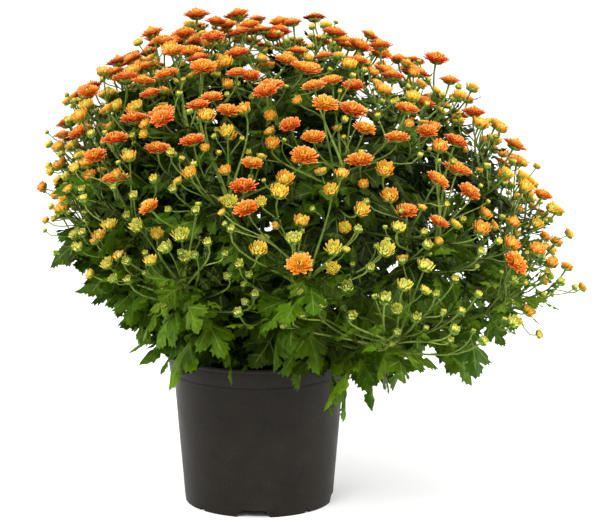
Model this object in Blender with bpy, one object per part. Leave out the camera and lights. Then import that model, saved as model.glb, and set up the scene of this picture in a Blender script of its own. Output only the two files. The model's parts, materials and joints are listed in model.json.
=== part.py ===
# Pot chrysanthemum: a bushy plant of leafy flowering stems in soil, in a thin nursery pot.
# Metres, +Z up. The pot's axis is Z, it stands on Z = 0, and its front faces -Y.
import math
from random import Random

import bpy
from mathutils import Matrix, Vector
from mathutils.bvhtree import BVHTree

UP = Vector((0, 0, 1))
GAP = 0.0003  # between pieces that rest on each other
GOLDEN_ANGLE = math.pi * (3 - math.sqrt(5))

# The pot, as radii and heights of its turned wall
POT_SIDES = 24
FOOT_RADIUS = 0.0834
FOOT_WIDTH = 0.0026
FLOOR_DISC_RADIUS = 0.0400  # the middle of the floor stands on the ground, inside a raised ring
FLOOR_RAISE = 0.0080
FLOOR_THICKNESS = 0.0020
WALL_TOP_RADIUS = 0.0957
WALL_TOP = 0.1470
WALL_THICKNESS = 0.0019
BAND_RADIUS = 0.0998
BAND_TOP_RADIUS = 0.1030
BAND_TOP = 0.1705
LIP_RADIUS = 0.1080
POT_HEIGHT = 0.1760
BAND_SLOPE = 0.0015  # the height over which the wall widens into the band
LIP_ROUND = 0.0013
LIP_LAND = 0.0004
FOOT_TAPER = 0.0004
DISC_TAPER = 0.0008
SHARP_ANGLE = math.radians(30)

# Drainage notches in the foot: (width at the top, width at the ground, height, first azimuth)
NOTCHES_PER_KIND = 4
WIDE_NOTCH = (0.027, 0.038, FLOOR_RAISE, math.radians(-94))
NARROW_NOTCH = (0.004, 0.008, 0.0036, math.radians(-49))
NOTCH_CUT = (0.012, 0.010, 0.004)  # how far the cut goes past the foot's outside: inwards, outwards and down

# The soil, and how deep the stems stand in it
SOIL_EDGE = 0.1560
SOIL_TOP = 0.1580
SOIL_SLOPE_WIDTH = 0.012
STEM_DEPTH = 0.028
STEM_STRAIGHT_TOP = 0.1640

# The dome of flower heads, as a reach from the crown of the plant
CROWN = Vector((0, 0, 0.150))
TOP_REACH = 0.400
REACH_LOSS = 0.092  # at the dome's lower edge, front and back
REACH_LOSS_SIDE = 0.044  # less of it on the right, more on the left
EDGE_ANGLE = 65.0  # from straight up to the dome's lower edge, in degrees
EDGE_ANGLE_LEAN = 13.0
EDGE_ANGLE_WIDEN = 2.0

# Stems. A node is a short stretch of stem whose four sides stalks and leaves grow from.
STEM_COUNT = 32
STEM_SIDES = 4
STEM_BASE_RADIUS = 0.0027
STEM_TIP_RADIUS = 0.0017
STEM_CLUSTER_RADIUS = 0.050
STEM_TIP_INSET = 0.042
# How a stem bends near its foot and tip, as (share of the tip's angle from upright, share of its length)
LOW_BEND = (0.55, 0.42)
HIGH_BEND = (0.72, 0.34)
NODE_LENGTH = 0.0040
# Nodes as places along a stem, and its leaves as (node, opening away from the stem in degrees, size)
UPPER_NODES = (0.58, 0.72, 0.82, 0.90, 0.97)
UPPER_LEAVES = ((0, 70, 1.1), (0, 60, 1.1), (1, 50, 1.05), (2, 50, 1.0), (3, 45, 0.9))
LOWER_NODES = (0.22, 0.50, 0.66, 0.78, 0.88, 0.97)
LOWER_LEAVES = ((0, 85, 1.0), (0, 75, 1.0), (1, 75, 1.0), (1, 65, 1.0), (2, 60, 1.0), (3, 50, 0.95))
LOWER_SHARE = 0.5  # the stems whose tips lie further down the dome than this are the lower ones

# Flower heads on their stalks
HEAD_COUNT = 455
HEAD_SEED = 5000
HEAD_TRIES = 8
HEAD_SITE_TRIES = 6
STALK_RADIUS = 0.0011
LONGEST_STALK = 0.150
LEAST_OUTWARD = 0.22  # of a stalk's direction, away from the side of the stem that it grows from
OPEN, HALF_OPEN, BUD = "open", "half_open", "bud"
# A head's age falls from the top of the dome to its lower edge, give or take the spread
TOP_AGE, EDGE_AGE, AGE_SPREAD = 1.05, 0.13, 0.40
OPEN_FROM_AGE, HALF_OPEN_FROM_AGE = 0.68, 0.32
HEAD_OUT, HEAD_IN = 0.006, 0.026  # how far a head may lie outside and inside the dome
HEAD_SHARE_SPREAD, HEAD_AZIMUTH_SPREAD = 0.010, 0.03
HEAD_FACES_OUT, HEAD_FACES_UP, HEAD_TILT = 0.62, 0.48, 0.28
# Each kind: (points round its rim, smallest and largest radius)
HEAD_KINDS = {OPEN: (10, 0.0124, 0.0172), HALF_OPEN: (6, 0.0084, 0.0114), BUD: (4, 0.0048, 0.0064)}

# Leaves
LEAF_SEED = 9403
LEAF_TRIES = 24
LEAF_LENGTH = 0.080
LEAF_SIZES = (0.88, 1.08)
LEAF_SHRINK = 0.03  # shorter by this share at each further try
LEAF_TURN, LEAF_OPENING_SPREAD, LEAF_TWIST = 35, 18, 30  # either way, in degrees
LEAF_DROOPS = (0.10, 0.45)
# Half of a leaf's outline, from its stalk to its tip, as (along, across) for a leaf 1 long
LEAF_OUTLINE = ((0.33, 0.260), (0.45, 0.120), (0.68, 0.340), (0.75, 0.130))
LEAF_CENTRE = 0.53
LEAF_FOLD = 0.25
LEAF_TOP = 0.0005
LEAF_RIB = 0.0010

CLEARANCE = 0.0012  # between stems, and between them and the pot and soil


# Clearing the scene and turning points into objects


def clear_scene():
    for obj in list(bpy.data.objects):
        bpy.data.objects.remove(obj)


def material(name, colour, roughness):
    made = bpy.data.materials.new(name)
    made.use_nodes = True
    shader = made.node_tree.nodes["Principled BSDF"]
    shader.inputs["Base Color"].default_value = (*colour, 1)
    shader.inputs["Roughness"].default_value = roughness
    shader.inputs["Metallic"].default_value = 0
    return made


def mesh_object(name, verts, faces, finish=None):
    mesh = bpy.data.meshes.new(name)
    mesh.from_pydata([tuple(v) for v in verts], [], faces)
    obj = bpy.data.objects.new(name, mesh)
    bpy.context.scene.collection.objects.link(obj)
    if finish:
        mesh.materials.append(finish)
    return obj


def cut(obj, cutters):
    """Cuts all the cutters out of a round piece at once, removes them and shades the piece smooth."""
    group = bpy.data.collections.new(obj.name + " cutters")
    bpy.context.scene.collection.children.link(group)
    for cutter in cutters:
        group.objects.link(cutter)
    modifier = obj.modifiers.new("Cut", "BOOLEAN")
    modifier.operand_type = "COLLECTION"
    modifier.collection = group
    modifier.solver = "EXACT"
    bpy.context.view_layer.update()
    result = bpy.data.meshes.new_from_object(obj.evaluated_get(bpy.context.evaluated_depsgraph_get()))
    obj.modifiers.remove(modifier)
    obj.data = result
    for cutter in cutters:
        bpy.data.objects.remove(cutter)
    bpy.data.collections.remove(group)
    obj.data.shade_smooth()
    obj.data.set_sharp_from_angle(angle=SHARP_ANGLE)


# Pot and soil


def lathe(name, profile, sides, finish):
    """A closed solid turned about Z. Its profile of (radius, height) runs up outside, then down inside."""
    verts = []
    for radius, z in profile:
        for k in range(sides):
            turn = 2 * math.pi * k / sides
            verts.append(Vector((radius * math.cos(turn), radius * math.sin(turn), z)))
    rings = [list(range(k * sides, (k + 1) * sides)) for k in range(len(profile))]
    faces = [tuple(reversed(rings[0])), tuple(rings[-1])]
    for low, high in zip(rings, rings[1:]):
        for k in range(sides):
            following = (k + 1) % sides
            faces.append((low[k], low[following], high[following], high[k]))
    return mesh_object(name, verts, faces, finish)


def pot_profile():
    """The outline, from under the floor up the outside of the wall and down to the top of the floor."""
    return [
        (FLOOR_DISC_RADIUS, 0),
        (FLOOR_DISC_RADIUS + DISC_TAPER, FLOOR_RAISE),
        (FOOT_RADIUS - FOOT_WIDTH - FOOT_TAPER, FLOOR_RAISE),
        (FOOT_RADIUS - FOOT_WIDTH, 0),
        (FOOT_RADIUS, 0),
        (WALL_TOP_RADIUS, WALL_TOP),
        (BAND_RADIUS, WALL_TOP + BAND_SLOPE),
        (BAND_TOP_RADIUS, BAND_TOP),
        (LIP_RADIUS - LIP_ROUND, BAND_TOP + LIP_ROUND / 2),
        (LIP_RADIUS, POT_HEIGHT - 2 * LIP_ROUND),
        (LIP_RADIUS - LIP_ROUND, POT_HEIGHT),
        (BAND_TOP_RADIUS - LIP_LAND, POT_HEIGHT),
        (BAND_TOP_RADIUS - WALL_THICKNESS, BAND_TOP),
        (BAND_RADIUS - WALL_THICKNESS, WALL_TOP + 2 * BAND_SLOPE),
        (WALL_TOP_RADIUS - WALL_THICKNESS, WALL_TOP),
        (FOOT_RADIUS - WALL_THICKNESS, FLOOR_RAISE + FLOOR_THICKNESS),
        (FLOOR_DISC_RADIUS - FLOOR_THICKNESS + DISC_TAPER, FLOOR_RAISE + FLOOR_THICKNESS),
        (FLOOR_DISC_RADIUS - FLOOR_THICKNESS, FLOOR_THICKNESS),
    ]


def notch_cutter(top_width, ground_width, height, azimuth):
    """A trapezoid prism that reaches through the foot from inside to outside."""
    inwards, outwards, down = NOTCH_CUT
    spread = ground_width / 2 + (ground_width - top_width) / 2 * down / height
    outline = [(-spread, -down), (spread, -down), (top_width / 2, height), (-top_width / 2, height)]
    verts = [Vector((x, y, z)) for x in (FOOT_RADIUS - inwards, FOOT_RADIUS + outwards) for y, z in outline]
    turn = Matrix.Rotation(azimuth, 3, "Z")
    faces = [(3, 2, 1, 0), (4, 5, 6, 7), (0, 1, 5, 4), (1, 2, 6, 5), (2, 3, 7, 6), (3, 0, 4, 7)]
    return mesh_object("notch", [turn @ v for v in verts], faces)


def make_pot():
    pot = lathe("pot", pot_profile(), POT_SIDES, material("pot plastic", (0.036, 0.033, 0.030), 0.45))
    cutters = []
    for top_width, ground_width, height, first in (WIDE_NOTCH, NARROW_NOTCH):
        for k in range(NOTCHES_PER_KIND):
            azimuth = first + 2 * math.pi * k / NOTCHES_PER_KIND
            cutters.append(notch_cutter(top_width, ground_width, height, azimuth))
    cut(pot, cutters)
    return pot


def soil_profile():
    """The root ball's outline, a small gap inside the pot's wall."""
    disc = FLOOR_DISC_RADIUS - FLOOR_THICKNESS - 2 * GAP
    foot = FOOT_RADIUS - WALL_THICKNESS - GAP
    wall_top = WALL_TOP_RADIUS - WALL_THICKNESS - GAP
    edge = BAND_RADIUS - WALL_THICKNESS - GAP
    return [
        (disc, FLOOR_THICKNESS + GAP),
        (disc + DISC_TAPER, FLOOR_RAISE + FLOOR_THICKNESS + GAP),
        (foot, FLOOR_RAISE + FLOOR_THICKNESS + GAP),
        (wall_top, WALL_TOP + GAP),
        (edge, WALL_TOP + 2 * (BAND_SLOPE + GAP)),
        (edge, SOIL_EDGE),
        (edge - SOIL_SLOPE_WIDTH, SOIL_TOP),
    ]


def make_soil(plans):
    soil = lathe("soil", soil_profile(), POT_SIDES, material("potting soil", (0.022, 0.015, 0.010), 0.95))
    cutters = []
    for plan in plans:
        foot = plan["foot"] - UP * GAP
        wide = STEM_BASE_RADIUS + GAP / math.cos(math.pi / STEM_SIDES)
        low = square(foot, Vector((1, 0, 0)), Vector((0, 1, 0)), wide)
        high = [v + UP * (STEM_STRAIGHT_TOP - foot.z) for v in low]
        faces = [(3, 2, 1, 0), (4, 5, 6, 7), (0, 1, 5, 4), (1, 2, 6, 5), (2, 3, 7, 6), (3, 0, 4, 7)]
        cutters.append(mesh_object("stem hole", low + high, faces))
    cut(soil, cutters)
    return soil


# The plant's plan: where each stem and head goes


def from_polar(polar, azimuth):
    return Vector((math.sin(polar) * math.cos(azimuth), math.sin(polar) * math.sin(azimuth), math.cos(polar)))


def dome_point(share, azimuth, inset):
    """A point of the dome, or inside it. The share is 0 at its top and 1 at its lower edge, by area."""
    lean = math.cos(azimuth)
    edge = math.radians(EDGE_ANGLE + EDGE_ANGLE_LEAN * lean + EDGE_ANGLE_WIDEN * lean * lean)
    polar = math.acos(1 - share * (1 - math.cos(edge)))
    loss = (REACH_LOSS - REACH_LOSS_SIDE * lean) * (polar / edge) ** 3
    return CROWN + from_polar(polar, azimuth) * (TOP_REACH - loss - inset)


def plan_stem(number):
    """Stems stand in the soil in the order in which their tips lie on the dome, so they never cross."""
    share = (number + 0.5) / STEM_COUNT
    azimuth = number * GOLDEN_ANGLE
    spread = STEM_CLUSTER_RADIUS * math.sqrt(share)
    start = Vector((spread * math.cos(azimuth), spread * math.sin(azimuth), STEM_STRAIGHT_TOP))
    tip = dome_point(share, azimuth, STEM_TIP_INSET)
    polar = math.acos((tip - CROWN).normalized().z)
    reach = (tip - start).length
    low_bend = start + from_polar(LOW_BEND[0] * polar, azimuth) * LOW_BEND[1] * reach
    high_bend = tip - from_polar(HIGH_BEND[0] * polar, azimuth) * HIGH_BEND[1] * reach
    is_lower = share > LOWER_SHARE
    return {
        "foot": start - UP * STEM_DEPTH,
        "bends": (start, low_bend, high_bend, tip),
        "tip": tip,
        "reach": reach,
        "nodes": LOWER_NODES if is_lower else UPPER_NODES,
        "leaves": LOWER_LEAVES if is_lower else UPPER_LEAVES,
    }


def along_stem(plan, place):
    """A point of the stem's middle line. The place is 0 where it leaves the soil and 1 at its tip."""
    a, b, c, d = plan["bends"]
    rest = 1 - place
    return a * rest**3 + b * (3 * rest**2 * place) + c * (3 * rest * place**2) + d * place**3


def plan_head(number):
    """A head's kind, size and the (point, direction) pairs to try. Older, wider heads are nearer the top."""
    rng = Random(HEAD_SEED + number)
    share = (number + 0.5) / HEAD_COUNT
    age = TOP_AGE + (EDGE_AGE - TOP_AGE) * share + rng.uniform(-AGE_SPREAD, AGE_SPREAD)
    kind = OPEN if age > OPEN_FROM_AGE else HALF_OPEN if age > HALF_OPEN_FROM_AGE else BUD
    _, smallest, largest = HEAD_KINDS[kind]
    radius = smallest + (largest - smallest) * rng.random() ** 1.4
    tries = []
    for _ in range(HEAD_TRIES):
        turned = rng.uniform(-HEAD_AZIMUTH_SPREAD, HEAD_AZIMUTH_SPREAD) / math.sqrt(share)
        moved = min(0.999, max(0.001, share + rng.uniform(-HEAD_SHARE_SPREAD, HEAD_SHARE_SPREAD)))
        point = dome_point(moved, number * GOLDEN_ANGLE + turned, rng.uniform(-HEAD_OUT, HEAD_IN))
        tilt = Vector([rng.uniform(-HEAD_TILT, HEAD_TILT) for _ in range(3)])
        axis = (point - CROWN).normalized() * HEAD_FACES_OUT + UP * HEAD_FACES_UP + tilt
        tries.append((point, axis.normalized()))
    return {"kind": kind, "radius": radius, "tries": tries}


# Shapes of the plant's parts, as points and as triangles between numbered points


def square(centre, side, other, radius):
    return [centre + side * radius, centre + other * radius, centre - side * radius, centre - other * radius]


def halves(quad):
    a, b, c, d = quad
    return [(a, b, c), (a, c, d)]


def ring_of_points(centre, side, other, rim):
    """Points in turn about the axis side x other, each at its (radius, height) of the rim."""
    axis = side.cross(other)
    points = []
    for k, (radius, height) in enumerate(rim):
        turn = 2 * math.pi * k / len(rim)
        points.append(centre + (side * math.cos(turn) + other * math.sin(turn)) * radius + axis * height)
    return points


def stitch(low, high):
    """Triangles between two rings that may differ in count, both anticlockwise as seen from above."""
    faces, i, j = [], 0, 0
    while i < len(low) or j < len(high):
        if j == len(high) or (i < len(low) and (i + 0.5) / len(low) <= (j + 0.5) / len(high)):
            faces.append((low[i % len(low)], low[(i + 1) % len(low)], high[j % len(high)]))
            i += 1
        else:
            faces.append((low[i % len(low)], high[(j + 1) % len(high)], high[j % len(high)]))
            j += 1
    return faces


def head_rim(kind, radius):
    """The rim's points as (radius, height) in turn, and the heights of the calyx's foot and the middle."""
    if kind == OPEN:
        return [(radius, 0.10 * radius), (0.62 * radius, 0.36 * radius)], -0.36 * radius, 0.34 * radius
    if kind == HALF_OPEN:
        return [(radius, 0.52 * radius), (0.84 * radius, 0.16 * radius)], -0.62 * radius, 0.40 * radius
    return [(radius, 0.05 * radius)], -0.80 * radius, 0.85 * radius


def head_shape(root, corner, centre, axis, head):
    """A head and its stalk, which grows from a site with this middle and first corner.

    Gives where the site's first corner is looked for, the points, and how they join the site's corners.
    """
    count = HEAD_KINDS[head["kind"]][0]
    rim, foot_height, middle_height = head_rim(head["kind"], head["radius"])
    neck = centre + axis * foot_height
    along = (neck - root).normalized()
    side = (corner - root - along * along.dot(corner - root)).normalized()
    points = ring_of_points(neck, side, along.cross(side), [(STALK_RADIUS, 0)] * 3)
    side = (side - axis * side.dot(axis)).normalized()
    points += ring_of_points(centre, side, axis.cross(side), rim * (count // len(rim)))
    points.append(centre + axis * middle_height)

    def join(corners, numbers):
        neck_ring, rim_ring, middle = numbers[:3], numbers[3:-1], numbers[-1]
        top = [(rim_ring[k], rim_ring[(k + 1) % count], middle) for k in range(count)]
        return stitch(corners, neck_ring) + stitch(neck_ring, rim_ring) + top

    return corner, points, join


def leaf_shape(base, along, normal, length, droop):
    """The same for a leaf: a lobed blade with a raised rib beneath, which opens out of the site's corners."""
    across = normal.cross(along)

    def place(x, y, z=0.0):
        bend = droop * x * x + LEAF_FOLD * abs(y)
        return base + (along * x + across * y - normal * bend) * length + normal * z

    points = [place(x, -y) for x, y in LEAF_OUTLINE] + [place(1, 0)]
    points += [place(x, y) for x, y in reversed(LEAF_OUTLINE)]
    points += [place(LEAF_CENTRE, 0, LEAF_TOP), place(LEAF_CENTRE, 0, -LEAF_RIB)]

    def join(corners, numbers):
        *edge, top, rib = numbers
        upper = [corners[3], *edge, corners[2]]
        lower = [corners[0], *edge, corners[1]]
        faces = [(a, b, top) for a, b in zip(upper, upper[1:])] + [(corners[2], corners[3], top)]
        faces += [(b, a, rib) for a, b in zip(lower, lower[1:])] + [(corners[0], corners[1], rib)]
        return faces + [(corners[0], edge[0], corners[3]), (corners[1], corners[2], edge[-1])]

    return base - (across + normal) * length, points, join


# Growing the plant. Each stem is one closed mesh, and heads and leaves are raised from its nodes.


class Growth:
    """Some triangles of a mesh, and what is needed to see whether others come too near them."""

    def __init__(self, verts, faces, owner):
        self.owner = owner
        self.faces = faces
        self.tree = BVHTree.FromPolygons(verts, faces)
        self.probes = [verts[v] for v in sorted({v for face in faces for v in face})]
        self.probes += [(verts[a] + verts[b]) / 2 for face in faces for a, b in zip(face, face[1:])]
        self.centre = sum(self.probes, Vector()) / len(self.probes)
        self.size = max((p - self.centre).length for p in self.probes)

    def meets(self, other):
        """On its own stem it may only share corners. From anything else it keeps a clear gap."""
        if (self.centre - other.centre).length > self.size + other.size + CLEARANCE:
            return False
        crossings = self.tree.overlap(other.tree)
        if self.owner == other.owner:
            return any(not set(self.faces[i]) & set(other.faces[j]) for i, j in crossings)
        if crossings or any(other.tree.find_nearest(p, CLEARANCE)[0] for p in self.probes):
            return True
        return any(self.tree.find_nearest(p, CLEARANCE)[0] for p in other.probes)


class Shoot:
    """One stem's mesh. Its sites, four to a node and one at the tip, are open until something grows there."""

    def __init__(self, number, plan):
        self.number, self.plan = number, plan
        self.verts, self.sites = [], []
        rings = self.stem_rings()
        self.faces = halves(rings[0][::-1])
        for k, (low, high) in enumerate(zip(rings, rings[1:])):
            is_node = k > 0 and k % 2 == 0
            for side in range(STEM_SIDES):
                following = (side + 1) % STEM_SIDES
                quad = (low[side], low[following], high[following], high[side])
                if is_node:
                    self.sites.append(self.site(quad, k // 2 - 1))
                else:
                    self.faces += halves(quad)
        self.sites.append(self.site(tuple(rings[-1]), len(plan["nodes"])))
        self.stem = Growth(self.verts, self.closed_faces(), number)

    def stem_rings(self):
        """Rings of corners at the foot, at the soil, at each end of every node and at the tip."""
        plan = self.plan
        half = NODE_LENGTH / 2 / plan["reach"]
        places = [0, *[place + step for place in plan["nodes"] for step in (-half, half)], 1]
        line = [plan["foot"], *[along_stem(plan, place) for place in places]]
        rings, side = [], Vector((1, 0, 0))
        for k, centre in enumerate(line):
            along = (line[min(k + 1, len(line) - 1)] - line[k - 1]).normalized() if k > 1 else UP
            side = (side - along * side.dot(along)).normalized()
            grown = max(0, k - 1) / (len(line) - 2)
            radius = STEM_BASE_RADIUS + (STEM_TIP_RADIUS - STEM_BASE_RADIUS) * grown
            rings.append(self.add(square(centre, side, along.cross(side), radius)))
        return rings

    def add(self, points):
        self.verts += points
        return list(range(len(self.verts) - len(points), len(self.verts)))

    def site(self, quad, node):
        a, b, c, d = [self.verts[v] for v in quad]
        facing = (c - a).cross(d - b).normalized()
        return {"quad": quad, "node": node, "centre": (a + b + c + d) / 4, "facing": facing}

    def closed_faces(self):
        """All the faces, with a lid on each site that is still open."""
        return self.faces + [face for site in self.sites for face in halves(site["quad"])]

    def slope(self, node):
        """How steeply the stem climbs at a node."""
        place = self.plan["nodes"][node]
        return math.asin((along_stem(self.plan, place + 0.02) - along_stem(self.plan, place)).normalized().z)

    def grow(self, site, shape, others):
        """Puts a shape on a site if it stays clear of the others, and says whether it did."""
        first, points, join = shape
        quad, before = site["quad"], len(self.verts)
        turn = min(range(4), key=lambda k: (self.verts[quad[k]] - first).length)
        faces = join(quad[turn:] + quad[:turn], self.add(points))
        growth = Growth(self.verts, faces, self.number)
        if any(growth.meets(other) for other in others):
            del self.verts[before:]
            return False
        self.faces += faces
        self.sites.remove(site)
        others.append(growth)
        return True


def grow_leaf(shoot, slot, others):
    rng = Random(LEAF_SEED + 20 * shoot.number + slot)
    node, opening, size = shoot.plan["leaves"][slot]
    for attempt in range(LEAF_TRIES):
        site = rng.choice([site for site in shoot.sites if site["node"] == node])
        turned = math.radians(rng.uniform(-LEAF_TURN, LEAF_TURN))
        azimuth = math.atan2(site["facing"].y, site["facing"].x) + turned
        opened = opening + rng.uniform(-LEAF_OPENING_SPREAD, LEAF_OPENING_SPREAD)
        slope = shoot.slope(node) - math.radians(opened)
        flat = from_polar(math.pi / 2, azimuth)
        along = flat * math.cos(slope) + UP * math.sin(slope)
        normal = UP * math.cos(slope) - flat * math.sin(slope)
        normal = Matrix.Rotation(math.radians(rng.uniform(-LEAF_TWIST, LEAF_TWIST)), 3, along) @ normal
        length = LEAF_LENGTH * size * rng.uniform(*LEAF_SIZES) * (1 - LEAF_SHRINK * attempt)
        droop = rng.uniform(*LEAF_DROOPS)
        if along.dot(site["facing"]) < LEAST_OUTWARD:
            continue
        if shoot.grow(site, leaf_shape(site["centre"], along, normal, length, droop), others):
            return


def grow_head(head, shoots, others):
    """On one of the two stems whose tips are nearest, from an open site that is close and faces the head."""
    for point, axis in head["tries"]:
        neck = point + axis * head_rim(head["kind"], head["radius"])[1]
        choices = []
        nearest = sorted(shoots, key=lambda shoot: (shoot.plan["tip"] - point).length)[:2]
        for away, shoot in enumerate(nearest):
            for site in shoot.sites:
                out = neck - site["centre"]
                outward = out.normalized().dot(site["facing"])
                if outward > LEAST_OUTWARD and out.length < LONGEST_STALK:
                    choices.append((10 * out.length - outward + 0.5 * away, len(choices), shoot, site))
        for _, _, shoot, site in sorted(choices)[:HEAD_SITE_TRIES]:
            shape = head_shape(site["centre"], shoot.verts[site["quad"][0]], point, axis, head)
            if shoot.grow(site, shape, others):
                return


def standing(obj):
    """The pot or the soil, for the plant to grow clear of."""
    verts = [v.co.copy() for v in obj.data.vertices]
    return Growth(verts, [tuple(p.vertices) for p in obj.data.polygons], None)


def grow_plant(plans, standing_pieces):
    shoots = [Shoot(number, plan) for number, plan in enumerate(plans)]
    others = [*standing_pieces, *[shoot.stem for shoot in shoots]]
    for shoot in shoots:
        for slot in range(len(shoot.plan["leaves"])):
            grow_leaf(shoot, slot, others)
    for number in range(HEAD_COUNT):
        grow_head(plan_head(number), shoots, others)
    return shoots


def main():
    clear_scene()
    plans = [plan_stem(number) for number in range(STEM_COUNT)]
    pot, soil = make_pot(), make_soil(plans)
    finish = material("stems, leaves and heads", (0.10, 0.19, 0.03), 0.5)
    for shoot in grow_plant(plans, [standing(pot), standing(soil)]):
        mesh_object(f"stem_{shoot.number + 1:02d}", shoot.verts, shoot.closed_faces(), finish)


main()
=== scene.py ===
# Pot chrysanthemum, the looks. Metres, +Z up, the pot stands on Z = 0 and its front faces -Y.
import json
import math
from random import Random

import bmesh
import bpy
import numpy as np
from mathutils import Matrix, Vector, noise
from mathutils.kdtree import KDTree

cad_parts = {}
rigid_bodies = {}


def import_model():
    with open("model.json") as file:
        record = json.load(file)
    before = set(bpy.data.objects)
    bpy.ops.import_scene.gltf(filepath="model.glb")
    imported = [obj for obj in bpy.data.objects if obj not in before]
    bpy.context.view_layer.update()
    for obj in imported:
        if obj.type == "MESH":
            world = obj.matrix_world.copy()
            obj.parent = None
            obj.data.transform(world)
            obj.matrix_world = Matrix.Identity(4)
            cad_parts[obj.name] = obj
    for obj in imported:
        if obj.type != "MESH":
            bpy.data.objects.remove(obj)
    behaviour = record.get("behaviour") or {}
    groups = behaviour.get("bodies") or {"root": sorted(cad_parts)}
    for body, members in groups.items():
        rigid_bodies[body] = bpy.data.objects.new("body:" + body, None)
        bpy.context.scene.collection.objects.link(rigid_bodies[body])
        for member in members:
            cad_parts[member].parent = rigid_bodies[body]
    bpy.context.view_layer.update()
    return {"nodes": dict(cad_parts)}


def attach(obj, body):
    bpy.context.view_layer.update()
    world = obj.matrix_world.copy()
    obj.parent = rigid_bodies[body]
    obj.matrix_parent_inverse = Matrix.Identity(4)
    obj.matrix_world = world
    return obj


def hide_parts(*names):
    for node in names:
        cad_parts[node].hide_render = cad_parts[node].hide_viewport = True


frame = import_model()
print("frame loaded:", len(frame["nodes"]), "nodes")

up = Vector((0, 0, 1))
golden = math.pi * (3 - math.sqrt(5))  # the turn from one petal or leaf to the next
crown = Vector((0, 0, 0.15))  # the stems spread out from here


# Colours and nodes

def colour(code):
    # sRGB hex to linear
    parts = [int(code[k:k + 2], 16) / 255 for k in (1, 3, 5)]
    return tuple(c / 12.92 if c <= 0.04045 else ((c + 0.055) / 1.055) ** 2.4 for c in parts) + (1,)


def addNode(tree, kind, settings=None, out=0, **inputs):
    # Inputs are values or other nodes' outputs, by the socket's number as i0, or by its name with an
    # underscore for a space. A colour ramp takes its stops, (place, hex), in the settings.
    node = tree.nodes.new(kind)
    for name, value in (settings or {}).items():
        if name == "stops":
            band = node.color_ramp
            for stop, (place, code) in enumerate(value):
                point = band.elements[stop] if stop < 2 else band.elements.new(place)
                point.position, point.color = place, colour(code)
        else:
            setattr(node, name, value)
    for name, value in inputs.items():
        socket = node.inputs[int(name[1:]) if name[1:].isdigit() else name.replace("_", " ")]
        if isinstance(value, bpy.types.NodeSocket):
            tree.links.new(value, socket)
        else:
            socket.default_value = value
    return node.outputs[out]


def startMaterial(name, roughness, ior, specular=0.5):
    made = bpy.data.materials.new(name)
    made.use_nodes = True
    shader = made.node_tree.nodes["Principled BSDF"]
    shader.inputs["Roughness"].default_value = roughness
    shader.inputs["IOR"].default_value = ior
    shader.inputs["Specular IOR Level"].default_value = specular
    return made, made.node_tree, shader


def growthValues(tree):
    # What each point of the plant holds, shares from 0 to 1:
    # petal: how ripe, how near the rim, how near its own edge or tip, chance
    # leaf: how light, with painted light and shade in it, how near a vein, chance
    # leaf: how light, how near a vein, chance
    # stem: how high, chance
    node = addNode(tree, "ShaderNodeAttribute", {"attribute_name": "growth"}).node
    split = addNode(tree, "ShaderNodeSeparateColor", Color=node.outputs["Color"]).node
    return [*split.outputs[:3], node.outputs["Alpha"]]


def shadedBy(tree, base, share, shades, strength):
    # the base colour, multiplied by a ramp of shades; 6 and 7 are a Mix node's colours
    shade = addNode(tree, "ShaderNodeValToRGB", {"stops": shades}, i0=share)
    mixing = {"data_type": "RGBA", "blend_type": "MULTIPLY"}
    return addNode(tree, "ShaderNodeMix", mixing, 2, i0=strength, i6=base, i7=shade)


def tintedBy(tree, base, share, reach, strength, tint):
    # the base colour with more of a tint, up to this strength, as the share goes through this reach
    low, high = reach
    amount = addNode(tree, "ShaderNodeMapRange", Value=share, From_Min=low, From_Max=high, To_Max=strength)
    return addNode(tree, "ShaderNodeMix", {"data_type": "RGBA"}, 2, i0=amount, i6=base, i7=colour(tint))


# Meshes from many small parts

finishes = {"stem": 0, "leaf": 1, "petal": 2, "scale": 3}  # where each material is in a piece's list


def linked(data, name):
    piece = bpy.data.objects.new(name, data)
    bpy.context.scene.collection.objects.link(piece)
    return piece


class Growing:
    # Collects the points, faces and values of one piece. Each part has one finish.
    def __init__(self, name):
        self.name = name
        self.points, self.values, self.corners, self.sizes, self.finishes = [], [], [], [], []
        self.count = 0

    def add(self, points, faces, finish, values):
        # faces is one array for each number of corners; values is one row, or one row a point
        points = np.asarray(points, float).reshape(-1, 3)
        values = np.broadcast_to(np.asarray(values, float), (len(points), 4))
        for group in faces if isinstance(faces, list) else [faces]:
            group = np.asarray(group, int)
            self.corners.append((group + self.count).ravel())
            self.sizes.append(np.full(len(group), group.shape[1]))
            self.finishes.append(np.full(len(group), finish))
        self.points.append(points)
        self.values.append(values)
        self.count += len(points)

    def makePiece(self, materials):
        points, values = np.concatenate(self.points), np.concatenate(self.values)
        corners, sizes = np.concatenate(self.corners), np.concatenate(self.sizes)
        mesh = bpy.data.meshes.new(self.name)
        mesh.vertices.add(len(points))
        mesh.vertices.foreach_set("co", points.ravel())
        mesh.loops.add(len(corners))
        mesh.loops.foreach_set("vertex_index", corners)
        mesh.polygons.add(len(sizes))
        mesh.polygons.foreach_set("loop_start", np.concatenate(([0], np.cumsum(sizes)[:-1])))
        for material in materials:
            mesh.materials.append(material)
        mesh.polygons.foreach_set("material_index", np.concatenate(self.finishes))
        mesh.update(calc_edges=True)
        mesh.validate()
        mesh.shade_smooth()
        mesh.attributes.new("growth", "FLOAT_COLOR", "POINT").data.foreach_set("color", values.ravel())
        return linked(mesh, self.name)


def sheetFaces(rows, columns, closed=False):
    # quads of a grid of points, row by row; closed joins the last column to the first
    width = columns if closed else columns - 1
    faces = []
    for row in range(rows - 1):
        for column in range(width):
            right = (column + 1) % columns
            low, high = row * columns, (row + 1) * columns
            faces.append((low + column, low + right, high + right, high + column))
    return np.array(faces)


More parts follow.
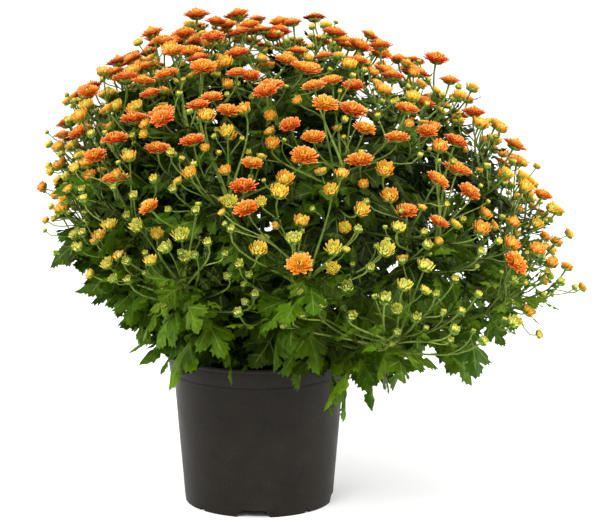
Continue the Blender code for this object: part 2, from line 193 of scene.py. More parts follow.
def rodFaces(rows, sides):
    # the sides and the two ends of a rod of points, row by row
    ends = np.array([range(sides)[::-1], range((rows - 1) * sides, rows * sides)])
    return [sheetFaces(rows, sides, True), ends]


boxFaces = np.concatenate(rodFaces(2, 4)[::-1])  # its two ends, then its sides


def smoothLine(points, steps):
    # a Catmull-Rom line through the points, with this many steps between two of them
    ends = [2 * points[0] - points[1], *points, 2 * points[-1] - points[-2]]
    line = []
    for a, b, c, d in zip(ends, ends[1:], ends[2:], ends[3:]):
        for k in range(steps):
            t = k / steps
            line.append(0.5 * (2 * b + (c - a) * t + (2 * a - 5 * b + 4 * c - d) * t**2
                               + (3 * b - a - 3 * c + d) * t**3))
    return line + [points[-1].copy()]


def bezier(a, b, c, d, steps):
    line = []
    for k in range(steps + 1):
        t = k / steps
        line.append(a * (1 - t) ** 3 + b * 3 * t * (1 - t) ** 2 + c * 3 * t * t * (1 - t) + d * t**3)
    return line


def tube(line, radii, sides, ridge=0.0):
    # a closed round rod along the line; ridge raises every other corner and sinks the rest
    rows, side = [], None
    for k, point in enumerate(line):
        along = (line[min(k + 1, len(line) - 1)] - line[max(k - 1, 0)]).normalized()
        side = side if side is not None else along.orthogonal()
        side = (side - along * side.dot(along)).normalized()
        other = along.cross(side)
        for j in range(sides):
            turn = 2 * math.pi * j / sides
            radius = radii[k] * (1 + ridge * (-1) ** j)
            rows.append(point + (side * math.cos(turn) + other * math.sin(turn)) * radius)
    return np.array([tuple(point) for point in rows]), rodFaces(len(line), sides)


def lathe(outline, sides):
    # a turned form from (radius, height) points, closed at both ends
    turns = 2 * math.pi * np.arange(sides) / sides
    radii, heights = np.array(outline, float).T
    wide, tall = radii[:, None], np.repeat(heights[:, None], sides, 1)
    points = np.stack([wide * np.cos(turns), wide * np.sin(turns), tall], 2)
    return points.reshape(-1, 3), rodFaces(len(outline), sides)


def around(axis, turn):
    # a direction square to the axis
    return Matrix.Rotation(turn, 3, axis) @ axis.orthogonal().normalized()


def between(pair, share):
    # from the first of a pair, at share 0, to the second, at 1
    return pair[0] + (pair[1] - pair[0]) * share


def middleOf(points):
    return sum(points, Vector()) / len(points)


# Reading the frame: each stem's line, heads and leaves, from the solids' own points

solids = {
    "weld": 0.00002,  # m, points nearer than this are one
    "rimPoints": {10: "open", 6: "half", 4: "bud"},  # how many points stand round each kind of head's middle
    "neckPoints": 3,
    "leafEdge": 9,  # points round a leaf, between its upper and its lower middle
    "stemSides": 4,
}


def readHead(at, middle, ring, neck, root):
    neckAt, rootAt = middleOf([at[v] for v in neck]), middleOf([at[v] for v in root])
    axis = (at[middle] - neckAt).normalized()
    outs = [at[v] - neckAt for v in ring]
    radius = max((out - axis * out.dot(axis)).length for out in outs)
    kind = solids["rimPoints"][len(ring)]
    return {"kind": kind, "neck": neckAt, "root": rootAt, "axis": axis, "radius": radius}


def readLeaf(at, near, first, second):
    # first and second are the leaf's two middle points
    edge = near[first] & near[second]
    corners = (near[first] | near[second]) - edge - {first, second}
    base = middleOf([at[v] for v in corners])
    chain = [min((v for v in edge if len(near[v] & edge) == 1), key=lambda v: tuple(at[v]))]
    while len(chain) < len(edge):
        chain.append(next(v for v in near[chain[-1]] & edge if v not in chain))
    out = at[chain[len(chain) // 2]] - base
    normal = (at[first] - at[second]).normalized()
    if (middleOf([at[first], at[second]]) - middleOf([at[v] for v in edge])).dot(normal) < 0:
        normal = -normal
    along = out - normal * out.dot(normal)
    return {"base": base, "along": along.normalized(), "normal": normal, "length": along.length,
            "droop": -out.dot(normal) / along.length}


def readStations(at, near, stem):
    # the stem's middle and radius at each node, from its foot up; most nodes have two rings of points
    ring = set(sorted(stem, key=lambda v: at[v].z)[:solids["stemSides"]])
    rings, seen = [], set()
    while ring:
        centre = middleOf([at[v] for v in ring])
        rings.append((centre, max((at[v] - centre).length for v in ring)))
        seen |= ring
        ring = {w for v in ring for w in near[v] if w in stem and w not in seen}
    foot, rest = rings[:2], rings[2:]
    nodes = [((a + b) / 2, (r + s) / 2) for (a, r), (b, s) in zip(rest[0::2], rest[1::2])]
    return foot + nodes + ([rest[-1]] if len(rest) % 2 else [])


def readShoot(node):
    # at holds the solid's points, near the points that each of them shares an edge with
    mesh = bmesh.new()
    mesh.from_mesh(frame["nodes"][node].data)
    bmesh.ops.remove_doubles(mesh, verts=mesh.verts, dist=solids["weld"])
    mesh.verts.index_update()
    at = [v.co.copy() for v in mesh.verts]
    near = [{e.other_vert(v).index for e in v.link_edges} for v in mesh.verts]
    mesh.free()
    heads, leaves, used = [], [], set()
    for v, ring in enumerate(near):
        if len(ring) not in solids["rimPoints"]:
            continue
        neck = set().union(*[near[r] for r in ring]) - ring - {v}
        if len(neck) == solids["neckPoints"]:
            root = set().union(*[near[n] for n in neck]) - ring - neck
            heads.append(readHead(at, v, ring, neck, root))
            used |= {v} | ring | neck
    middles = [v for v in range(len(at)) if len(near[v]) == solids["leafEdge"] + 2]
    for first in middles:
        for second in middles:
            if first < second and len(near[first] & near[second]) == solids["leafEdge"]:
                leaves.append(readLeaf(at, near, first, second))
                used |= {first, second} | (near[first] & near[second])
    stations = readStations(at, near, [v for v in range(len(at)) if v not in used])
    # a fixed order, whatever order the frame's points come in
    heads.sort(key=lambda head: (round(head["neck"].z, 4), round(head["neck"].x, 4)))
    leaves.sort(key=lambda leaf: (round(leaf["base"].z, 4), round(leaf["length"], 4)))
    return {"name": node, "stations": stations, "heads": heads, "leaves": leaves}


# Leaves

leafStyle = {
    # half of an outline from the stalk to the tip, for a leaf 1 long: (edge point, point of the veins)
    "outlines": {
        "lobed": [
            ((0.170, 0.016), "m0"), ((0.190, 0.078), "m1"), ((0.196, 0.142), "a1"), ((0.190, 0.216), "a2"),
            ((0.232, 0.222), "a2"), ((0.258, 0.292), "a3"), ((0.298, 0.262), "a3"), ((0.350, 0.276), "a3"),
            ((0.350, 0.214), "a2"), ((0.386, 0.190), "a2"), ((0.376, 0.136), "a1"), ((0.398, 0.078), "m1"),
            ((0.398, 0.078), "m2"), ((0.444, 0.108), "m3"), ((0.474, 0.172), "b1"), ((0.468, 0.236), "b2"),
            ((0.518, 0.248), "b2"), ((0.538, 0.326), "b3"), ((0.588, 0.312), "b3"), ((0.640, 0.374), "b3"),
            ((0.660, 0.308), "b3"), ((0.714, 0.318), "b3"), ((0.700, 0.252), "b2"), ((0.748, 0.224), "b2"),
            ((0.716, 0.164), "b1"), ((0.706, 0.086), "m3"), ((0.706, 0.086), "m4"), ((0.746, 0.110), "m5"),
            ((0.790, 0.174), "c1"), ((0.824, 0.142), "c1"), ((0.876, 0.158), "c1"), ((0.874, 0.104), "m5"),
            ((0.936, 0.092), "m6"), ((0.942, 0.046), "m6"), ((1.0, 0.0), "m7"),
        ],
        "narrow": [
            ((0.10, 0.010), "m0"), ((0.22, 0.042), "m1"), ((0.33, 0.082), "m2"), ((0.40, 0.166), "d1"),
            ((0.46, 0.140), "d1"), ((0.50, 0.152), "d1"), ((0.49, 0.096), "m2"), ((0.49, 0.096), "m3"),
            ((0.58, 0.112), "m3"), ((0.63, 0.184), "e1"), ((0.69, 0.146), "e1"), ((0.75, 0.148), "e1"),
            ((0.76, 0.092), "m4"), ((0.85, 0.096), "m5"), ((0.89, 0.044), "m6"), ((1.0, 0.0), "m7"),
        ],
    },
    "veins": {
        "m0": (0.17, 0), "m1": (0.22, 0), "m2": (0.34, 0), "m3": (0.44, 0), "m4": (0.60, 0), "m5": (0.71, 0),
        "m6": (0.85, 0), "m7": (0.93, 0),
        "a1": (0.246, 0.070), "a2": (0.272, 0.140), "a3": (0.300, 0.212),
        "b1": (0.495, 0.086), "b2": (0.552, 0.172), "b3": (0.612, 0.260), "c1": (0.785, 0.090),
        "d1": (0.40, 0.076), "e1": (0.60, 0.092),
    },
    # each kind: its outline, the rows of points from a vein to the edge, and its midrib's steps and sides
    "kinds": {"large": ("lobed", 3, 6, 5), "inner": ("lobed", 2, 3, 4), "small": ("narrow", 2, 3, 3)},
    # how light a leaf may be, by chance within a range: lighter where it grows low, as painted light, and
    # darker where it grows high, as painted shade
    "lights": {"large": ((0.50, 1.0), (0.16, 0.66)), "inner": ((0.55, 0.95), (0.05, 0.76)),
               "small": ((0.40, 0.85), (0.05, 0.50))},
    # below this height leaves get the lighter range, painted light
    "paintedLightBelow": 0.30,  # m
    # the blade's form, for a leaf 1 long: how its halves fall away, curl down, twist, widen and bend aside
    "folds": (0.18, 0.40),
    "curls": (-0.1, 0.5),
    "twists": (-0.12, 0.12),
    "widths": (0.88, 1.06),
    "bends": (-0.09, 0.09),
    "swell": 0.022,  # how high the blade stands between two veins
    "wave": 0.019,  # how high its edge waves
    "waveTurns": (31, 17),  # radians of the wave along the leaf and across it
    "waveStarts": (0, 6.28),
    "ribReach": 0.62,  # the midrib ends here, thinner by ribTaper
    "ribTaper": 0.7,
    "ribRadius": 0.00105,
    "ribFullAt": 0.06,  # m, on a leaf of this length or more
    "ribUnder": 0.0004,  # m, how far it lies under the blade
    "ribHeights": (0.35, 0.75),  # its colour, as high on a stem, for a dark and for a light leaf
    # from the inner leaves, darkened as painted shade, to the young ones and those given painted light
    "tints": ((0.0, "#121c02"), (0.35, "#273b04"), (0.7, "#446504"), (1.0, "#6b8c14")),
    "hues": (0.485, 0.508),  # 0.5 leaves the hue as it is, less is yellower
    "blotch": 7.0,  # mm
    "blotchShades": ((0.3, "#9fa48c"), (0.7, "#ffffff")),
    "veinTint": "#8a9c4a",
    "veinReach": (0.84, 1.0),
    "paleVein": 0.42,
    "veinlets": 1.8,  # mm from one to the next
}


def leafMaterial():
    # Fresh chrysanthemum leaf: deep green, some leaves yellower, with a thin waxy bloom, so hardly glossy.
    # Its veins are paler, and a net of veinlets roughens the blade.
    name = "fresh lobed leaf, waxy green"
    made, tree, shader = startMaterial(name, roughness=0.55, ior=1.42, specular=0.11)
    light, vein, chance = growthValues(tree)[:3]
    where = addNode(tree, "ShaderNodeTexCoord", out="Object")
    # the green follows the leaf's light value, which holds painted light and shade as well as chance
    blade = addNode(tree, "ShaderNodeValToRGB", {"stops": leafStyle["tints"]}, i0=light)
    blotch = addNode(tree, "ShaderNodeTexNoise", Vector=where, Scale=1000 / leafStyle["blotch"], Detail=3)
    blade = shadedBy(tree, blade, blotch, leafStyle["blotchShades"], strength=0.6)
    yellower, greener = leafStyle["hues"]
    hue = addNode(tree, "ShaderNodeMapRange", Value=chance, To_Min=yellower, To_Max=greener)
    blade = addNode(tree, "ShaderNodeHueSaturation", Hue=hue, Color=blade)
    blade = tintedBy(tree, blade, vein, leafStyle["veinReach"], leafStyle["paleVein"], leafStyle["veinTint"])
    tree.links.new(blade, shader.inputs["Base Color"])
    net = {"feature": "DISTANCE_TO_EDGE"}
    netting = addNode(tree, "ShaderNodeTexVoronoi", net, Vector=where, Scale=1000 / leafStyle["veinlets"])
    relief = addNode(tree, "ShaderNodeBump", Strength=0.55, Distance=0.0006, Height=netting)
    tree.links.new(relief, shader.inputs["Normal"])
    return made


def planLeaf(outline, rows):
    # points as (along, across, share of the way from a vein to the edge) and triangles, for both halves
    index, points, faces = {}, [], []
    for side in (1, -1):
        strips = []
        for (x, y), vein in leafStyle["outlines"][outline]:
            u, v = leafStyle["veins"][vein]
            strip = []
            for share in np.linspace(0, 1, rows):
                point = (u + (x - u) * share, side * (v + (y - v) * share), share)
                key = tuple(round(c, 4) for c in point)
                if key not in index:
                    index[key] = len(points)
                    points.append(point)
                strip.append(index[key])
            strips.append(strip)
        for one, two in zip(strips, strips[1:]):
            for row in range(rows - 1):
                a, b, c, d = [one[row], two[row], two[row + 1], one[row + 1]][::side]
                faces += [tri for tri in ((a, b, c), (a, c, d)) if len(set(tri)) == 3]
    return np.array(points, float), np.array(faces)


leafPlans = {kind: planLeaf(*plan[:2]) for kind, plan in leafStyle["kinds"].items()}


def leafAt(base, along, roll, length, droop):
    # a leaf that faces up, rolled to one side by this angle
    normal = Matrix.Rotation(roll, 3, along) @ (up - along * along.z).normalized()
    return {"base": base, "along": along, "normal": normal, "length": length, "droop": droop}


def growLeaf(growing, leaf, kind, rng, shade=0.0):
    # shade is how deep inside the plant the leaf is, from 0 to 1; it darkens the leaf's colour as painted
    # shade
    points, faces = leafPlans[kind]
    # painted light and shade: lighter low down and darker higher up, then darker inside by shade
    lowPaintedLights, highPaintedLights = leafStyle["lights"][kind]
    lights = lowPaintedLights if leaf["base"].z < leafStyle["paintedLightBelow"] else highPaintedLights
    light = rng.uniform(*lights) * (1 - shade)
    x, y, row = points.T
    length, droop = leaf["length"], leaf["droop"]
    base, along, normal = [np.array(leaf[key]) for key in ("base", "along", "normal")]
    across = np.cross(normal, along)
    alongTurn, acrossTurn = leafStyle["waveTurns"]
    fall = droop * x**2 + rng.uniform(*leafStyle["folds"]) * np.abs(y)
    fall += rng.uniform(*leafStyle["curls"]) * y**2
    fall -= leafStyle["swell"] * 4 * row * (1 - row)
    wave = np.sin(alongTurn * x + acrossTurn * np.abs(y) + rng.uniform(*leafStyle["waveStarts"]))
    fall += leafStyle["wave"] * row * wave
    fall += rng.uniform(*leafStyle["twists"]) * y * x
    sideways = y * rng.uniform(*leafStyle["widths"]) + rng.uniform(*leafStyle["bends"]) * x**2
    place = base + length * (along * x[:, None] + across * sideways[:, None] - normal * fall[:, None])
    chance = rng.random()
    values = np.zeros((len(points), 4))
    values[:, 0], values[:, 1], values[:, 2] = light, 1 - row, chance
    growing.add(place, faces, finishes["leaf"], values)
    # its stalk runs on as the midrib under the blade
    steps, sides = leafStyle["kinds"][kind][2:]
    line, radii = [], []
    for k in range(steps):
        s = leafStyle["ribReach"] * k / (steps - 1)
        under = leafStyle["ribUnder"] if k else 0
        line.append(Vector(base + length * (along * s - normal * (droop * s * s)) - normal * under))
        thin = 1 - leafStyle["ribTaper"] * k / (steps - 1)
        radii.append(leafStyle["ribRadius"] * thin * min(1, length / leafStyle["ribFullAt"]))
    rod, ends = tube(line, radii, sides)
    # the midrib's colour follows the leaf's light value, painted light and shade too
    growing.add(rod, ends, finishes["stem"], (between(leafStyle["ribHeights"], light), chance, 0, 0))


# Flowers

petalStyle = {
    "ripening": ((0.0, "#7fa032"), (0.07, "#a9bf47"), (0.13, "#d0d85a"), (0.21, "#ead53e"), (0.35, "#eca41c"),
                 (0.52, "#e87a10"), (0.78, "#d9480e"), (1.0, "#b8240f")),
    "heartRipe": 0.44,  # how ripe a petal at the heart is, of one at the rim
    "chanceRipe": 0.11,  # how much riper chance may make a petal
    "blotch": 2.2,  # mm
    "blotchShades": ((0.35, "#d2d2d2"), (0.65, "#ffffff")),
    # painted shade, darker towards a petal's foot between its neighbours
    "paintedShadeAtFoot": ((0.0, "#9c9490"), (0.5, "#ffffff")),
    "edgeTint": "#ffd888",
    "edgeReach": (0.68, 1.0),
    "paleEdge": 0.60,
    "rows": (0.0, 0.42, 0.80, 1.0),  # places along a petal
    "widths": (0.36, 0.92, 0.94, 0.44),  # how wide it is there
    "channel": 0.34,  # how far a petal's sides stand up, of its half width
    # what chance adds to a petal's turn, rise and ripeness, and multiplies its reach and width by
    "spreads": {"turn": (-0.12, 0.12), "rise": (-0.06, 0.06), "ripeness": (-0.05, 0.05),
                "reach": (0.88, 1.03), "width": (0.85, 1.10)},
}


def petalMaterial():
    # Fresh ray florets: a soft matt skin. They open lime, pass through gold and ripen to orange and red from
    # the rim inwards. Each is darker at its foot, between its neighbours, as painted shade, and paler at its
    # edge and tip.
    name = "fresh petals, lime to red orange"
    made, tree, shader = startMaterial(name, roughness=0.62, ior=1.40, specular=0.06)
    ripe, rimwards, edge, chance = growthValues(tree)
    where = addNode(tree, "ShaderNodeTexCoord", out="Object")
    multiplyAdd, heart = {"operation": "MULTIPLY_ADD"}, petalStyle["heartRipe"]
    share = addNode(tree, "ShaderNodeMath", multiplyAdd, i0=rimwards, i1=1 - heart, i2=heart)
    ripened = addNode(tree, "ShaderNodeMath", {"operation": "MULTIPLY"}, i0=ripe, i1=share)
    varied = addNode(tree, "ShaderNodeMath", multiplyAdd, i0=chance, i1=petalStyle["chanceRipe"], i2=ripened)
    flesh = addNode(tree, "ShaderNodeValToRGB", {"stops": petalStyle["ripening"]}, i0=varied)
    blotch = addNode(tree, "ShaderNodeTexNoise", Vector=where, Scale=1000 / petalStyle["blotch"], Detail=3)
    flesh = shadedBy(tree, flesh, blotch, petalStyle["blotchShades"], strength=0.5)
    # painted shade at each petal's foot, where the petals crowd together
    flesh = shadedBy(tree, flesh, edge, petalStyle["paintedShadeAtFoot"], strength=1.0)
    pale, tint = petalStyle["paleEdge"], petalStyle["edgeTint"]
    flesh = tintedBy(tree, flesh, edge, petalStyle["edgeReach"], pale, tint)
    tree.links.new(flesh, shader.inputs["Base Color"])
    return made


def growPetals(growing, centre, side, other, axis, radius, style, ripe, rng):
    # petals in a spiral, as they grow, from the rim (share 0) to the heart (share 1)
    dice = np.random.default_rng(rng.randrange(1 << 30))
    count, spreads = style["petals"], petalStyle["spreads"]
    share = (np.arange(count) + 0.5) / count
    turn = np.arange(count) * golden + dice.uniform(*spreads["turn"], count)
    inwards = 1 - (1 - share) ** style["spread"]
    tipOut = between(style["tipReach"], inwards) * dice.uniform(*spreads["reach"], count)
    tipUp = between(style["tipHeight"], inwards) + dice.uniform(*spreads["rise"], count)
    baseOut, baseUp = between(style["baseReach"], inwards), between(style["baseHeight"], inwards)
    bendOut = baseOut + (tipOut - baseOut) * style["bulge"] + style["puff"] * inwards
    bendUp = baseUp + (tipUp - baseUp) * style["sag"]
    width = between(style["halfWidth"], inwards) * dice.uniform(*spreads["width"], count)
    # from here each array is petals by rows by columns
    s = np.array(petalStyle["rows"])[None, :, None]
    wide = np.array(petalStyle["widths"])[None, :, None] * width[:, None, None]
    column = np.array([-1.0, 0.0, 1.0])[None, None, :]

    def curve(a, b, c):
        # places on a curve from a to c, bent towards b, and its direction there
        a, b, c = (v[:, None, None] for v in (a, b, c))
        return a * (1 - s) ** 2 + 2 * b * s * (1 - s) + c * s**2, 2 * (b - a) * (1 - s) + 2 * (c - b) * s

    reach, reachStep = curve(baseOut, bendOut, tipOut)
    height, heightStep = curve(baseUp, bendUp, tipUp)
    size = np.hypot(reachStep, heightStep) + 1e-6  # never 0
    lift = wide * petalStyle["channel"] * np.abs(column)
    reach = reach - heightStep / size * lift
    height = height + reachStep / size * lift
    lateral = wide * column
    cosine, sine = np.cos(turn)[:, None, None], np.sin(turn)[:, None, None]
    flat = [(reach * cosine - lateral * sine), (reach * sine + lateral * cosine), height + 0 * lateral]
    points = sum(f[..., None] * np.array(v) for f, v in zip(flat, (side, other, axis)))
    points = points * radius + np.array(centre)
    rows, columns = s.size, column.size
    starts = np.arange(count) * rows * columns
    faces = (sheetFaces(rows, columns)[None] + starts[:, None, None]).reshape(-1, 4)
    values = np.zeros((count, rows, columns, 4))
    values[..., 0] = np.clip(ripe + dice.uniform(*spreads["ripeness"], count), 0, 1)[:, None, None]
    values[..., 1] = (1 - share)[:, None, None]
    values[..., 2] = np.maximum((s + s**4) / 2, np.abs(column) * between((0.5, 0.9), s))  # tip, edge
    values[..., 3] = dice.uniform(0, 1, count)[:, None, None]
    growing.add(points, faces, finishes["petal"], values.reshape(-1, 4))


headStyle = {
    # Lengths in the kinds are shares of the head's radius, and a pair runs from the rim to the heart. The
    # foot is where the stalk ends, below the middle. Bulge, sag and puff say where a petal bends.
    "kinds": {
        "open": {"foot": 0.36, "petals": 88, "tipReach": (1.06, 0.02), "tipHeight": (0.06, 0.54),
                 "baseReach": (0.30, 0.06), "baseHeight": (-0.14, 0.16), "bulge": 0.62, "sag": 0.22,
                 "puff": 0.16, "halfWidth": (0.122, 0.085), "cup": 0.50, "cupHeight": -0.10, "spread": 0.55},
        "half": {"foot": 0.62, "petals": 44, "tipReach": (1.06, 0.02), "tipHeight": (0.34, 0.52),
                 "baseReach": (0.46, 0.10), "baseHeight": (-0.42, 0.16), "bulge": 0.92, "sag": 0.30,
                 "puff": 0.24, "halfWidth": (0.165, 0.115), "cup": 0.78, "cupHeight": -0.16, "spread": 0.62},
        "bud": {"foot": 0.80, "petals": 20, "tipReach": (0.98, 0.02), "tipHeight": (0.58, 0.64),
                "baseReach": (0.50, 0.10), "baseHeight": (-0.40, 0.10), "bulge": 1.15, "sag": 0.30,
                "puff": 0.30, "halfWidth": (0.290, 0.200), "cup": 0.86, "cupHeight": -0.10, "spread": 0.75},
    },
    # how ripe each kind is, low on the plant and at its top, and how much that varies
    "ripe": {"open": (0.40, 0.76, 0.20), "half": (0.05, 0.37, 0.14), "bud": (-0.03, 0.15, 0.06)},
    # each metre to the right of the first, or back, ripens a head as this much height does
    "sunSide": (0.10, 0.42, 0.25),
    "lowest": 0.225,  # heads ripen between these heights
    "highest": 0.36,
    "closedBelow": (0.245, 0.74),  # under this, half open heads are still buds, of this share of their radius
}


scaleStyle = {
    "tints": ((0.0, "#4f6a20"), (1.0, "#7c9a3a")),
    "edgeTint": "#d0d598",
    "edgeReach": (0.70, 1.0),
    "paleEdge": 0.7,
    "rows": ((7, 0.25, 0.78), (7, 0.55, 1.06)),  # how many, and where they start and end up the cup
    "form": ((0.0, 0.6), (0.55, 1.0), (1.0, 0.0)),  # places along a scale, and how wide it is there
    "width": 0.30,  # half its width, of the cup's radius
    "lifts": (0.0003, 0.0005),  # m, how far its foot and its tip stand off the cup
    "turns": (-0.1, 0.1),
    "rise": 0.8,  # how fast it goes on up past the cup's rim
    "cupSides": 8,
    "cupRings": 4,
    "cupEdge": 0.3,  # as near a scale's tip, for the colour of the cup
    "smallHead": 0.005,  # m, the cup of a smaller head than this starts thinner
}


def scaleMaterial():
    # The scales under a flower: dull green leaf tissue with a thin pale papery tip
    name = "flower scales, green with papery edge"
    made, tree, shader = startMaterial(name, roughness=0.62, ior=1.42, specular=0.25)
    edge, chance = growthValues(tree)[2:]
    scale = addNode(tree, "ShaderNodeValToRGB", {"stops": scaleStyle["tints"]}, i0=chance)
    pale, tint = scaleStyle["paleEdge"], scaleStyle["edgeTint"]
    scale = tintedBy(tree, scale, edge, scaleStyle["edgeReach"], pale, tint)
    tree.links.new(scale, shader.inputs["Base Color"])
    return made


def growScales(growing, neck, side, other, axis, radius, style, rng):
    # a green cup from the stalk to the petals, with two rows of pointed scales on it
    stalk = stalkStyle["radius"] * min(1, radius / scaleStyle["smallHead"])
    cup, top = style["cup"] * radius, (style["foot"] + style["cupHeight"]) * radius

    def onCup(share, out, lift):
        angle = min(1.0, share) * math.pi / 2
        reach = stalk + (cup - stalk) * math.sin(angle) + lift
        past = max(0, share - 1) * radius * scaleStyle["rise"]
        return neck + out * reach + axis * (top * (1 - math.cos(angle)) + past)

    sides, rings = scaleStyle["cupSides"], scaleStyle["cupRings"]
    points = []
    for k in range(rings):
        for j in range(sides):
            turn = 2 * math.pi * j / sides
            points.append(tuple(onCup(k / (rings - 1), side * math.cos(turn) + other * math.sin(turn), 0)))
    cupValues = (0, 0, scaleStyle["cupEdge"], rng.random())
    growing.add(points, sheetFaces(rings, sides, True), finishes["scale"], cupValues)
    blades, faces, values = [], [], []
    for row, (count, start, end) in enumerate(scaleStyle["rows"]):
        for j in range(count):
            turn = 2 * math.pi * (j + 0.5 * row) / count + rng.uniform(*scaleStyle["turns"])
            out = side * math.cos(turn) + other * math.sin(turn)
            chance, n = rng.random(), len(blades)
            for t, wide in scaleStyle["form"]:
                middle = onCup(between((start, end), t), out, between(scaleStyle["lifts"], t))
                half = out.cross(axis) * (wide * cup * scaleStyle["width"])
                blades += [tuple(middle - half), tuple(middle + half)] if wide else [tuple(middle)]
                values += [(0, 0, t, chance)] * (2 if wide else 1)
            faces += [(n, n + 1, n + 3), (n, n + 3, n + 2), (n + 2, n + 3, n + 4)]
    growing.add(blades, np.array(faces), finishes["scale"], values)


def sunHeight(head):
    # how high a head would stand if all sides ripened alike
    start, right, back = headStyle["sunSide"]
    return head["neck"].z + right * max(0, head["neck"].x - start) + back * head["neck"].y


def growHead(growing, head, rng):
    style, axis, radius = headStyle["kinds"][head["kind"]], head["axis"], head["radius"]
    side = axis.orthogonal().normalized()
    other = axis.cross(side)
    centre = head["neck"] + axis * style["foot"] * radius
    low, high, spread = headStyle["ripe"][head["kind"]]
    height = (sunHeight(head) - headStyle["lowest"]) / (headStyle["highest"] - headStyle["lowest"])
    ripe = between((low, high), min(1, max(0, height))) + rng.uniform(-spread, spread)
    growScales(growing, head["neck"], side, other, axis, radius, style, rng)
    growPetals(growing, centre, side, other, axis, radius, style, ripe, rng)


# Smaller heads on side stalks, where there is room between the solids' heads

sideStyle = {
    "counts": {"open": (1, 2), "half": (1, 2), "bud": (0, 1)},  # fewest and most beside each kind of head
    "halfShare": 0.50,  # this share is half open, but none beside a bud
    "radii": {"half": (0.0050, 0.0082), "bud": (0.0028, 0.0046)},
    "gap": (0.0030, 0.0130),  # m, between it and its own head, across and down
    "drop": (0.001, 0.020),
    "lean": (0.8, 0.5, 0.2),  # it faces its own head's way, outwards and up, by these weights
    "closeness": 0.9,  # heads may stand this close, of the sum of their radii
    "tries": 5,
    "shortest": 0.022,  # m, shorter stalks carry none
}


def middleOfHead(head):
    return head["neck"] + head["axis"] * headStyle["kinds"][head["kind"]]["foot"] * head["radius"]


def planSideHeads(head, taken, rng):
    # taken holds the place and radius of every head so far
    head["sides"] = []
    span = (head["neck"] - head["root"]).length
    if span < sideStyle["shortest"]:
        return
    middle, close = middleOfHead(head), sideStyle["closeness"]
    ownWeight, outWeight, upWeight = sideStyle["lean"]
    for _ in range(rng.randint(*sideStyle["counts"][head["kind"]])):
        for _ in range(sideStyle["tries"]):
            kind = "half" if rng.random() < sideStyle["halfShare"] and head["kind"] != "bud" else "bud"
            radius = rng.uniform(*sideStyle["radii"][kind])
            out = around(head["axis"], rng.uniform(0, 2 * math.pi))
            away = head["radius"] * close + radius + rng.uniform(*sideStyle["gap"])
            place = middle + out * away - head["axis"] * rng.uniform(*sideStyle["drop"])
            axis = (head["axis"] * ownWeight + out * outWeight + up * upWeight).normalized()
            gaps = np.linalg.norm(taken["places"][:taken["count"]] - np.array(place), axis=1)
            if np.all(gaps > (taken["radii"][:taken["count"]] + radius) * close):
                side = {"kind": kind, "radius": radius, "axis": axis}
                side["neck"] = place - axis * headStyle["kinds"][kind]["foot"] * radius
                head["sides"].append(side)
                taken["places"][taken["count"]] = place
                taken["radii"][taken["count"]] = radius
                taken["count"] += 1
                break


# Stems and stalks

stemStyle = {
    "sides": 10,
    "ridge": 0.07,  # the ribs stand up by this share of its radius
    "steps": 6,
    "tints": ((0.0, "#3a3a1c"), (0.3, "#42571c"), (0.7, "#64792b"), (1.0, "#83943f")),  # by height
    "values": (0.86, 1.10),
    "blotch": 3.0,  # mm
    "blotchShades": ((0.3, "#b4b89c"), (0.7, "#ffffff")),
}


def stemMaterial():
    # Green stem tissue: ribbed and satin, pale yellow green at the top, darker and browner near the soil.
    # Chance makes some stalks paler.
    made, tree, shader = startMaterial("stem skin, pale green", roughness=0.52, ior=1.42, specular=0.2)
    high, chance = growthValues(tree)[:2]
    where = addNode(tree, "ShaderNodeTexCoord", out="Object")
    skin = addNode(tree, "ShaderNodeValToRGB", {"stops": stemStyle["tints"]}, i0=high)
    blotch = addNode(tree, "ShaderNodeTexNoise", Vector=where, Scale=1000 / stemStyle["blotch"], Detail=3)
    skin = shadedBy(tree, skin, blotch, stemStyle["blotchShades"], strength=0.7)
    darker, paler = stemStyle["values"]
    value = addNode(tree, "ShaderNodeMapRange", Value=chance, To_Min=darker, To_Max=paler)
    skin = addNode(tree, "ShaderNodeHueSaturation", Value=value, Color=skin)
    tree.links.new(skin, shader.inputs["Base Color"])
    return made


bractStyle = {
    "lengths": (0.008, 0.022),
    "upwards": 0.5,  # how far it leans up the stalk
    # places along it and half its width there, with two teeth
    "form": ((0.0, 0.03), (0.30, 0.09), (0.42, 0.06), (0.62, 0.13), (0.74, 0.06), (1.0, 0.004)),
    "fold": 0.4,
    "droops": (0.0, 0.35),
    "lights": (0.2, 0.65),
    "veins": (0.9, 0.4),  # as near a vein in its middle and at its edge
}


def growBract(growing, base, along, length, rng):
    # a narrow leaf with two teeth on each side, three points wide
    sideways = along.cross(up).normalized()
    normal = sideways.cross(along)
    droop, points, values = rng.uniform(*bractStyle["droops"]), [], []
    chance = rng.random()
    middleVein, edgeVein = bractStyle["veins"]
    light = between(bractStyle["lights"], chance)
    for x, half in bractStyle["form"]:
        middle = base + (along * x - up * droop * x * x) * length
        for c in (-1, 0, 1):
            fold = normal * abs(c) * half * bractStyle["fold"]
            points.append(tuple(middle + (sideways * c * half + fold) * length))
            values.append((light, edgeVein if c else middleVein, chance, 0))
    growing.add(points, sheetFaces(len(bractStyle["form"]), 3), finishes["leaf"], values)


stalkStyle = {
    "radius": 0.00095,
    "sides": 6,
    "steps": 7,
    "sag": (-0.06, 0.06),  # of its length
    "pulls": (0.36, 0.30),  # how far its ends run straight, of its length
    "sunk": (0.0010, 0.0006),  # m, how far they go into the stem and into the flower
    "foot": (0.8, 0.12),  # its foot is up to this much thicker, in full on a stalk this long
    "thins": 1.3,  # how fast it thins out from its foot
    "flare": 1.3,  # how much wider it ends under the flower
    "heights": (0.42, 0.88),  # its colour, as high on a stem
}

